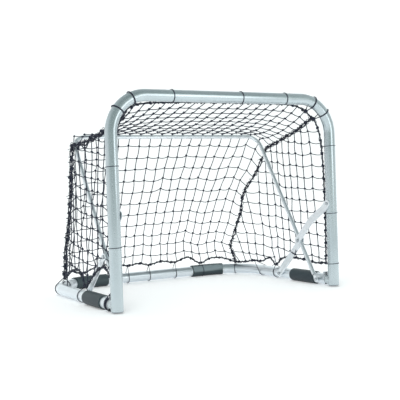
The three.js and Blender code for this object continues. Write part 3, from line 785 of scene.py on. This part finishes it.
MOUTH_CURVE = ((-0.511, 0.25), (-0.510, 0.44), (-0.505, 0.58), (-0.494, 0.665), (-0.476, 0.722),
               (-0.448, 0.765), (-0.405, 0.788), (-0.34, 0.797), (-0.20, 0.803), (0.0, 0.805),
               (0.20, 0.805), (0.32, 0.803), (0.39, 0.789), (0.452, 0.748), (0.477, 0.717),
               (0.494, 0.666), (0.504, 0.59), (0.510, 0.44), (0.511, 0.25))
MOUTH = [(-0.512, -0.350, 0.064), *[(x, NET_FRONT_Y, z) for x, z in MOUTH_CURVE], (0.512, -0.351, 0.105)]

TOP_SEAM = {
    "left": [(-0.448, NET_FRONT_Y, 0.765), (-0.460, -0.20, 0.710), (-0.472, -0.10, 0.680),
             (-0.488, -0.01, 0.662), (-0.500, 0.078, 0.660)],
    "right": [(0.452, NET_FRONT_Y, 0.748), (0.476, -0.215, 0.704), (0.489, -0.07, 0.668),
              (0.498, 0.01, 0.648), (0.504, 0.070, 0.638)],
}
BACK_SEAM = {
    "left": [(-0.500, 0.078, 0.660), (-0.496, 0.105, 0.60), (-0.484, 0.152, 0.476),
             (-0.477, 0.211, 0.329), (-0.477, 0.262, 0.206), (-0.466, 0.318, 0.062)],
    "right": [(0.504, 0.070, 0.638), (0.493, 0.123, 0.55), (0.468, 0.146, 0.49),
              (0.440, 0.166, 0.443), (0.430, 0.187, 0.39), (0.434, 0.213, 0.323),
              (0.426, 0.235, 0.268), (0.420, 0.255, 0.218), (0.410, 0.280, 0.156),
              (0.436, 0.300, 0.109), (0.462, 0.318, 0.062)],
}
SIDE_FOOT = {
    "left": [(-0.512, -0.350, 0.064), (-0.508, -0.30, 0.120), (-0.505, -0.235, 0.160),
             (-0.505, -0.16, 0.142), (-0.507, -0.10, 0.105), (-0.512, -0.045, 0.066),
             (-0.508, -0.01, 0.100), (-0.505, 0.045, 0.128), (-0.503, 0.13, 0.116),
             (-0.490, 0.22, 0.090), (-0.466, 0.318, 0.062)],
    "right": [(0.512, -0.351, 0.105), (0.508, -0.30, 0.099), (0.505, -0.22, 0.107),
              (0.500, -0.12, 0.113), (0.500, -0.04, 0.104), (0.514, 0.035, 0.066),
              (0.495, 0.055, 0.100), (0.478, 0.10, 0.082), (0.470, 0.155, 0.082),
              (0.466, 0.22, 0.072), (0.462, 0.318, 0.062)],
}
BACK_FOOT = [(-0.466, 0.318, 0.062), (-0.42, 0.356, 0.088), (-0.36, 0.368, 0.072),
             (-0.28, 0.370, 0.098), (-0.20, 0.370, 0.100), (-0.125, 0.372, 0.088),
             (-0.06, 0.371, 0.094), (-0.011, 0.372, 0.082), (0.06, 0.371, 0.094),
             (0.135, 0.372, 0.084), (0.21, 0.370, 0.102), (0.28, 0.372, 0.068),
             (0.345, 0.368, 0.088), (0.41, 0.356, 0.084), (0.462, 0.318, 0.062)]

BAR_LIFT = SUPPORT_RADIUS + CORD_RADIUS + 0.0006
BAR_CURVE = ((-0.43, 0.001), (-0.2, 0.002), (0.0, 0.002), (0.2, 0.002), (0.43, 0.001))
BAR_ROW = [(-0.500, 0.078, 0.660), (-0.476, 0.108, SUPPORT_TOP_Z + 0.004),
           *[(x, SUPPORT_TOP_Y + behind, SUPPORT_TOP_Z + BAR_LIFT) for x, behind in BAR_CURVE],
           (0.478, 0.106, SUPPORT_TOP_Z - 0.002), (0.504, 0.070, 0.638)]

LINE_STEP = 0.004


def part_of(line, start, end):
    """The stretch of a line between its points nearest to two places."""
    first = int(np.argmin(np.linalg.norm(line - np.asarray(start), axis=1)))
    last = int(np.argmin(np.linalg.norm(line - np.asarray(end), axis=1)))
    return line[first:last + 1] if first <= last else line[last:first + 1][::-1]


def at_shares(line, shares):
    along = distances(line)
    wanted = np.asarray(shares) * along[-1]
    return np.stack([np.interp(wanted, along, line[:, axis]) for axis in range(3)], axis=-1)


# Net panels: knots joined by twine, pulled into balance between the fixed edges.

class Panel:
    """Knots, the twines between them, and which knots stay where they are."""

    def __init__(self):
        self.knots = []
        self.fixed = []
        self.twines = []

    def add_knot(self, place_, fixed):
        self.knots.append(np.asarray(place_, float))
        self.fixed.append(fixed)
        return len(self.knots) - 1

    def add_twine(self, a, b, level):
        self.twines.append((a, b, level))


def patch_panel(front, back, left, right, across, along):
    """A four-sided panel: its knots start evenly spread between the four edge lines."""
    panel = Panel()
    u = np.linspace(0, 1, across + 1)
    v = np.linspace(0, 1, along + 1)
    near, far = at_shares(front, u), at_shares(back, u)
    west, east = at_shares(left, v), at_shares(right, v)
    index = {}
    for j in range(along + 1):
        for i in range(across + 1):
            point = ((1 - v[j]) * near[i] + v[j] * far[i] + (1 - u[i]) * west[j] + u[i] * east[j]
                     - (1 - u[i]) * (1 - v[j]) * near[0] - u[i] * (1 - v[j]) * near[-1]
                     - (1 - u[i]) * v[j] * far[0] - u[i] * v[j] * far[-1])
            edge = i in (0, across) or j in (0, along)
            index[i, j] = panel.add_knot(point, edge)
    for (i, j), knot in index.items():
        inner_row = 0 < j < along
        inner_column = 0 < i < across
        if i < across and inner_row:
            panel.add_twine(knot, index[i + 1, j], True)
        if j < along and inner_column:
            panel.add_twine(knot, index[i, j + 1], False)
    return panel


def side_panel(mouth, top_seam, back_seam, foot, row_rise):
    """A side of the net: upright columns and level rows, cut off where they meet the sloping seams."""
    panel = Panel()
    front_y = NET_FRONT_Y
    low_z = 0.070
    high_z = 0.76
    top_pitch = 0.056
    foot_pitch = 0.0485
    row_pitch = 0.0515
    roof = np.vstack([top_seam, back_seam[1:]])
    roof = roof[np.argsort(roof[:, 1], kind="stable")]
    foot_line = foot[np.argsort(foot[:, 1], kind="stable")]
    edge_line = mouth[np.argsort(mouth[:, 2], kind="stable")]

    def roof_at(y):
        return np.array([np.interp(y, roof[:, 1], roof[:, axis]) for axis in range(3)])

    def foot_at(y):
        return np.array([np.interp(y, foot_line[:, 1], foot_line[:, axis]) for axis in range(3)])

    def crossing(i, j):
        y = front_y
        z = low_z
        for _ in range(6):
            share = (z - low_z) / (high_z - low_z)
            y = front_y + i * (foot_pitch + (top_pitch - foot_pitch) * share)
            z = low_z + j * row_pitch + row_rise * (y - front_y)
        return y, z

    def depth(y, z):
        """How far inside the panel a place is: positive inside."""
        rear = roof[-1, 1]
        if y > rear:
            return -1.0
        return min(roof_at(y)[2] - z, 1.0)

    def meet(first, second, inside):
        low, high = 0.0, 1.0
        for _ in range(24):
            mid = (low + high) / 2
            y = first[0] + (second[0] - first[0]) * mid
            z = first[1] + (second[1] - first[1]) * mid
            if inside(y, z):
                low = mid
            else:
                high = mid
        return first[0] + (second[0] - first[0]) * low

    # More columns and rows than a side can hold; the seams cut off the rest.
    columns = 18
    rows = 17
    margin = 0.010
    index = {}
    flat = {}
    for i in range(1, columns):
        for j in range(rows):
            y, z = crossing(i, j)
            if y < roof[-1, 1] and depth(y, z) > margin and z > foot_at(y)[2] + margin:
                top = roof_at(y)
                base = foot_at(y)
                share = (z - base[2]) / max(top[2] - base[2], 1e-6)
                x = base[0] + (top[0] - base[0]) * share
                flat[i, j] = (y, z)
                index[i, j] = panel.add_knot((x, y, z), False)
    for (i, j), knot in list(index.items()):
        if (i, j + 1) in index:
            panel.add_twine(knot, index[i, j + 1], False)
        else:
            y = meet(flat[i, j], crossing(i, j + 1), lambda a, b: depth(a, b) > 0)
            panel.add_twine(knot, panel.add_knot(roof_at(y), True), False)
        if (i + 1, j) in index:
            panel.add_twine(knot, index[i + 1, j], True)
        else:
            ahead = crossing(i + 1, j)
            if depth(*ahead) <= margin:
                y = meet(flat[i, j], ahead, lambda a, b: depth(a, b) > 0)
                panel.add_twine(knot, panel.add_knot(roof_at(y), True), True)
            else:
                panel.add_twine(knot, panel.add_knot(foot_at(ahead[0]), True), True)
        if (i, j - 1) not in index:
            y = crossing(i, j - 1)[0]
            panel.add_twine(panel.add_knot(foot_at(min(y, foot_line[-1, 1])), True), knot, False)
        if i == 1:
            z = flat[i, j][1] - row_rise * (flat[i, j][0] - front_y)
            start = [np.interp(z, edge_line[:, 2], edge_line[:, axis]) for axis in range(3)]
            panel.add_twine(panel.add_knot(start, True), knot, True)
    return panel


def settle(panel, tension, weight, steps=500):
    """Moves the free knots until the pull of their twines balances their weight."""
    knots = np.array(panel.knots)
    fixed = np.array(panel.fixed)
    a = np.array([twine[0] for twine in panel.twines])
    b = np.array([twine[1] for twine in panel.twines])
    level = np.array([twine[2] for twine in panel.twines])
    span = np.linalg.norm(knots[b] - knots[a], axis=1)
    rest = span * (tension + 0.05 * rng.standard_normal(len(span)))
    stiffness = np.where(level, 0.16, 0.20)
    for _ in range(steps):
        gap = knots[b] - knots[a]
        size = np.maximum(np.linalg.norm(gap, axis=1), 1e-9)
        pull = (stiffness * (size - rest) / size)[:, None] * gap
        move = np.zeros_like(knots)
        np.add.at(move, a, pull)
        np.add.at(move, b, -pull)
        move[:, 2] -= weight
        move[fixed] = 0
        knots += move
    panel.knots = list(knots)


def twine_line(start, end, level):
    """One twine between two knots: level ones hang a little, upright ones are nearly straight."""
    span = np.linalg.norm(end - start)
    sag = span * (rng.uniform(0.03, 0.11) if level else rng.uniform(0.0, 0.03))
    sway = rng.normal(0, 0.02 if level else 0.025) * span
    heading = unit(end - start)
    side = np.cross(heading, (0.0, 0.0, 1.0))
    side = side / max(np.linalg.norm(side), 1e-6)
    share = np.linspace(0, 1, 6)[:, None]
    bow = 4 * share * (1 - share)
    return start + (end - start) * share + bow * (sway * side - sag * np.array((0.0, 0.0, 1.0)))


def add_knot_shape(shape, centre, turn, size=1.0):
    """A small tight knot: a trefoil of twine."""
    count = 20
    t = 2 * np.pi * np.arange(count) / count
    knot = np.stack([np.sin(t) + 2 * np.sin(2 * t), np.cos(t) - 2 * np.cos(2 * t), -1.4 * np.sin(3 * t)],
                    axis=1) / 3
    c, s = math.cos(turn), math.sin(turn)
    spun = knot @ np.array(((c, 0, s), (0, 1, 0), (-s, 0, c)))
    add_cord(shape, centre + KNOT_RADIUS * size * spun, KNOT_CORD_RADIUS * size, 5, closed=True)


def net_object(name, panel, twine):
    shape = Shape()
    knots = np.array(panel.knots)
    for a, b, level in panel.twines:
        add_cord(shape, twine_line(knots[a], knots[b], level), CORD_RADIUS, 6)
    for place_, fixed in zip(knots, panel.fixed):
        add_knot_shape(shape, place_, rng.uniform(0, math.pi), 0.9 if fixed else rng.uniform(0.9, 1.1))
    return shape.to_object(name, twine, sharp_angle=80)


# Ropes along the net's edges.

def add_twisted_rope(shape, line, radius, lay=0.020, sides=6):
    """Three strands laid round each other."""
    line = respaced(line, max(3, int(distances(line)[-1] / (lay / 8))))
    _, across, over = frames_along(line)
    along = distances(line)
    for strand in range(3):
        angle = 2 * np.pi * (along / lay + strand / 3)
        offset = 0.5 * radius * (np.cos(angle)[:, None] * across + np.sin(angle)[:, None] * over)
        add_cord(shape, line + offset, 0.54 * radius, sides)


def add_wrap(shape, line, radius, pitch, cord_radius, wobble=0.0):
    """A thin lacing cord wound round a rope, which also takes up the edge meshes of the net."""
    line = respaced(line, max(3, int(distances(line)[-1] / (pitch / 12))))
    _, across, over = frames_along(line)
    along = distances(line)
    angle = 2 * np.pi * along / pitch + 0.6 * np.sin(along / pitch * 1.7)
    reach = radius * (1 + wobble * np.sin(along / pitch * 2.3) ** 2)
    offset = reach[:, None] * (np.cos(angle)[:, None] * across + np.sin(angle)[:, None] * over)
    add_cord(shape, line + offset, cord_radius, 5)


def add_tail(shape, start, length, cord_radius=TIE_RADIUS):
    """The loose end of a lacing knot."""
    heading = rng.normal(0, 1, 3)
    heading[2] = abs(heading[2]) * 0.3
    heading = unit(heading)
    share = np.linspace(0, 1, 6)[:, None]
    line = start + share * length * heading - np.array((0, 0, 1.0)) * (share ** 2) * length * 0.35
    add_cord(shape, line, np.linspace(cord_radius, cord_radius * 0.8, 6), 5)


# The number of ropes in each seam, how far apart they lie, their slack and the size of the knots.
TOP_LACING = {"left": (3, 0.0044, 0.013, 1.6), "right": (2, 0.0038, 0.004, 1.5)}
BACK_LACING = {"left": (3, 0.0056, 0.006, 1.8), "right": (2, 0.0040, 0.004, 1.5)}


def laced_seam(name, line, finish, strands, spread, slack, knot_size):
    """A seam of ropes laced together: slack ropes droop in loops between the knots."""
    shape = Shape()
    _, across, over = frames_along(line)
    along = distances(line)
    loop = KNOT_STEP * 1.5
    for strand in range(strands):
        angle = 2 * np.pi * (along / 0.13 + strand / strands)
        offset = spread * (np.cos(angle)[:, None] * across + np.sin(angle)[:, None] * over)
        droop = strand * slack * np.sin(np.pi * along / loop) ** 2 * (0.7 + 0.3 * np.sin(along / 0.05))
        offset[:, 2] -= droop
        offset[:, 1] -= 0.4 * droop
        add_twisted_rope(shape, line + offset, ROPE_RADIUS * 0.85)
    add_wrap(shape, line, spread + ROPE_RADIUS, 0.024, LACING_RADIUS, wobble=0.5)
    count = int(along[-1] / KNOT_STEP)
    for share in (np.arange(count) + 0.5) / count:
        spot = at_shares(line, [share])[0] + rng.normal(0, 0.002, 3)
        size = knot_size * rng.uniform(0.75, 1.15)
        add_knot_shape(shape, spot, rng.uniform(0, math.pi), size)
        for _ in range(2):
            add_tail(shape, spot, rng.uniform(0.010, 0.022))
    return shape.to_object(name, finish, sharp_angle=80)


def edge_rope(name, line, finish):
    """A rope reeved along the edge meshes of the net, with a knot at every mesh."""
    shape = Shape()
    add_twisted_rope(shape, line, ROPE_RADIUS)
    add_wrap(shape, line, ROPE_RADIUS + LACING_RADIUS * 0.8, 0.030, LACING_RADIUS, wobble=0.4)
    count = max(1, int(distances(line)[-1] / EDGE_KNOT_STEP))
    for share in (np.arange(count) + 0.5) / count:
        spot = at_shares(line, [share])[0]
        add_knot_shape(shape, spot, rng.uniform(0, math.pi), 1.4)
    return shape.to_object(name, finish, sharp_angle=80)


# Ties that hold the ropes to the tubes.

def tie_loop(centre, heading, radius, rope_point):
    """A closed loop round a tube that reaches out to a rope beside it."""
    heading = unit(np.asarray(heading, float))
    centre = np.asarray(centre, float)
    reach = np.asarray(rope_point, float) - centre
    reach = reach - heading * (reach @ heading)
    distance = max(np.linalg.norm(reach), radius * 1.05)
    outward = unit(reach)
    across = np.cross(heading, outward)
    open_angle = math.acos(radius / distance)
    angles = np.linspace(open_angle, 2 * math.pi - open_angle, 40)
    arc = [centre + radius * (math.cos(angle) * outward + math.sin(angle) * across) for angle in angles]
    slant = np.linspace(-0.0018, 0.0018, len(arc))
    arc = [point + heading * shift for point, shift in zip(arc, slant)]
    tip = centre + outward * distance
    return np.array([tip + (arc[0] - tip) * 0.02, *[tip + (arc[0] - tip) * s for s in (0.3, 0.6, 0.85)],
                     *arc, *[tip + (arc[-1] - tip) * s for s in (0.85, 0.6, 0.3)]])


def tie(name, body, centre, heading, radius, rope_point, finish, cord_radius=TIE_RADIUS, turns=1):
    """A knotted tie of one or more turns round a tube. It lies flat where the tube rests on the floor."""
    shape = Shape()
    heading = unit(np.asarray(heading, float))
    for turn in range(turns):
        spot = np.asarray(centre, float) + heading * 2.3 * cord_radius * turn
        line = tie_loop(spot, heading, radius + cord_radius + 0.0004, rope_point)
        line[:, 2] = np.maximum(line[:, 2], cord_radius)
        add_cord(shape, line, cord_radius, 6, closed=True)
    add_knot_shape(shape, line[0], rng.uniform(0, math.pi), 1.2 * cord_radius / TIE_RADIUS)
    for _ in range(2):
        add_tail(shape, line[0], rng.uniform(0.010, 0.020), cord_radius)
    made = shape.to_object(name, finish, sharp_angle=80)
    place(made, body, "net")


def nearest(line, point):
    return line[int(np.argmin(np.linalg.norm(line - np.asarray(point), axis=1)))]


def net_ties(mouth, side_foot, back_foot, finish):
    """Ties along the crossbar, posts, corner bends and base tube, unevenly spaced as a person ties them."""
    for number, x in enumerate((-0.259, 0.063, 0.285)):
        centre = (x, POST_Y, CROSSBAR_Z)
        tie(f"crossbar_tie_{number + 1}", "front_frame", centre, (1, 0, 0.02), TUBE_RADIUS,
            nearest(mouth, (x, NET_FRONT_Y, CROSSBAR_Z)), finish)
    post_heights = {"left": (0.553, 0.247), "right": (0.622, 0.325)}
    for side, sign in SIDES:
        for number, z in enumerate(post_heights[side]):
            centre = (sign * POST_X, POST_Y, z)
            tie(f"post_tie_{side}_{number + 1}", "front_frame", centre, (0, 0.03, 1), TUBE_RADIUS,
                nearest(mouth, (sign * POST_X, NET_FRONT_Y, z)), finish)
        bend_x = sign * (POST_X - CORNER_RADIUS)
        bend_z = CROSSBAR_Z - CORNER_RADIUS
        for number, degrees in enumerate((24, 52)):
            angle = math.radians(degrees)
            centre = (bend_x + sign * CORNER_RADIUS * math.sin(angle), POST_Y,
                      bend_z + CORNER_RADIUS * math.cos(angle))
            heading = (math.cos(angle), 0, -sign * math.sin(angle))
            inner = (centre[0] * 0.93, NET_FRONT_Y, centre[2] - 0.03)
            tie(f"corner_tie_{side}_{number + 1}", "front_frame", centre, heading, TUBE_RADIUS,
                nearest(mouth, inner), finish, THICK_TIE_RADIUS)
        corner_x = POST_X - BASE_CORNER_RADIUS * (1 - math.sin(math.radians(45)))
        corner_y = REAR_BAR_Y - BASE_CORNER_RADIUS * (1 - math.cos(math.radians(45)))
        tie(f"rear_corner_tie_{side}", "base_frame", (sign * corner_x, corner_y, BASE_Z),
            (sign * 1, -1, 0), TUBE_RADIUS, side_foot[side][-1], finish)
    for number, y in enumerate((0.035, 0.155)):
        tie(f"arm_tie_right_{number + 1}", "base_frame", (POST_X, y, BASE_Z), (0.05, 1, 0), TUBE_RADIUS,
            nearest(side_foot["right"], (0.515, y, 0.07)), finish)
    tie("foot_tie_left", "base_frame", (-POST_X, POST_Y + 0.052, BASE_Z), (0, 1, 0.1), TUBE_RADIUS,
        nearest(side_foot["left"], (-0.512, -0.33, 0.08)), finish, THICK_TIE_RADIUS, 3)
    tie("foot_tie_right", "front_frame", (POST_X, POST_Y, 0.102), (0, 0.03, 1), TUBE_RADIUS,
        mouth[-1], finish)
    tie("arm_tie_left", "base_frame", (-POST_X, -0.045, BASE_Z), (0.1, 1, 0), TUBE_RADIUS,
        nearest(side_foot["left"], (-0.512, -0.045, 0.066)), finish)
    bend = math.radians(21)
    bend_x = -(POST_X - BASE_CORNER_RADIUS * (1 - math.cos(bend)))
    bend_y = REAR_BAR_Y - BASE_CORNER_RADIUS * (1 - math.sin(bend))
    tie("bend_tie_left", "base_frame", (bend_x, bend_y, BASE_Z), (math.sin(bend), math.cos(bend), 0),
        TUBE_RADIUS, nearest(side_foot["left"], (-0.49, 0.22, 0.09)), finish, THICK_TIE_RADIUS)
    for number, x in enumerate((-0.36, -0.125, -0.011, 0.135)):
        tie(f"rear_bar_tie_{number + 1}", "base_frame", (x, REAR_BAR_Y, BASE_Z), (1, 0.05, 0), TUBE_RADIUS,
            nearest(back_foot, (x, REAR_BAR_Y, 0.08)), finish)
    tie("rear_sleeve_tie", "base_frame", (0.29, REAR_BAR_Y, BASE_Z), (1, 0.05, 0), SLEEVE_RADIUS + 0.0004,
        nearest(back_foot, (0.28, REAR_BAR_Y, 0.07)), finish)


# Where the cloth of the net is carried by each frame when the goal folds.
NET_REAR_ANCHOR = (0, REAR_BAR_Y, BASE_Z)
NET_FRONT_ANCHOR = (0, -0.461, 0.733)


def follow_fold(piece, *nodes):
    """The piece bends between the base and the front frame as the goal folds."""
    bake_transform(piece, "base_frame", "front_frame", start=NET_REAR_ANCHOR, end=NET_FRONT_ANCHOR)
    if nodes:
        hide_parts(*nodes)


def make_net(finishes):
    twine = finishes["net"]
    rope = net_twine("border_rope", (0.006, 0.009, 0.021), (0.017, 0.023, 0.048), 2)
    mouth = smooth_line(MOUTH, LINE_STEP)
    top_seam = {side: smooth_line(TOP_SEAM[side], LINE_STEP) for side, _ in SIDES}
    back_seam = {side: smooth_line(BACK_SEAM[side], LINE_STEP) for side, _ in SIDES}
    side_foot = {side: smooth_line(SIDE_FOOT[side], LINE_STEP) for side, _ in SIDES}
    back_foot = smooth_line(BACK_FOOT, LINE_STEP)
    bar_row = smooth_line(BAR_ROW, LINE_STEP)
    mouth_top = part_of(mouth, top_seam["left"][0], top_seam["right"][0])

    top = patch_panel(mouth_top, bar_row, top_seam["left"], top_seam["right"], NET_COLUMNS, TOP_ROWS)
    settle(top, 0.94, 0.00002)
    follow_fold(net_object("top_net_mesh", top, twine), "top_net")

    back = patch_panel(bar_row, back_foot, back_seam["left"], back_seam["right"], NET_COLUMNS, BACK_ROWS)
    settle(back, 0.97, 0.00005)
    follow_fold(net_object("back_net_mesh", back, twine), "back_net")

    rises = {"left": 0.15, "right": 0.09}
    for side, sign in SIDES:
        half = mouth[:len(mouth) // 2] if sign < 0 else mouth[len(mouth) // 2:]
        edge = half[half[:, 2] < top_seam[side][0][2]]
        panel = side_panel(edge, top_seam[side], back_seam[side], side_foot[side], rises[side])
        settle(panel, 0.98, 0.00006)
        follow_fold(net_object(f"side_net_mesh_{side}", panel, twine), f"side_net_{side}")
        made = laced_seam(f"top_seam_rope_{side}", top_seam[side], rope, *TOP_LACING[side])
        follow_fold(made, f"top_seam_cord_{side}")
        made = laced_seam(f"back_seam_rope_{side}", back_seam[side], rope, *BACK_LACING[side])
        follow_fold(made, f"back_seam_cord_{side}")
        follow_fold(edge_rope(f"side_foot_rope_{side}", side_foot[side], rope), f"foot_cord_{side}")
    follow_fold(edge_rope("mouth_rope", mouth, rope), "mouth_cord")
    follow_fold(edge_rope("back_foot_rope", back_foot, rope), "back_foot_cord")
    net_ties(mouth, side_foot, back_foot, twine)


# Assembly.

make_camera()
make_world()
make_floor()
make_light("key", (-3.2, -3.6, 3.4), (0, 0, 0.4), (2.6, 2.6), 90, reflected=False)
make_light("overhead", (0, 1.0, 5.0), (0, 1.0, 0), (6.0, 6.0), 100, reflected=False)
make_light("softbox", (0.85, -2.1, 0.95), (0, 0, 0.55), (0.9, 1.1), 5, reflected=True)
bpy.context.scene.view_settings.view_transform = "Standard"

finishes = slot_materials()
goal_frame(finishes["tube"])
base_frame(finishes["base_tube"])
support_frame(finishes["bar"])
for side, sign in SIDES:
    foot_stub(side, sign, finishes["tube"])
sleeves(finishes["sleeve"], finishes["rear_sleeve"])
fittings(finishes)
make_net(finishes)
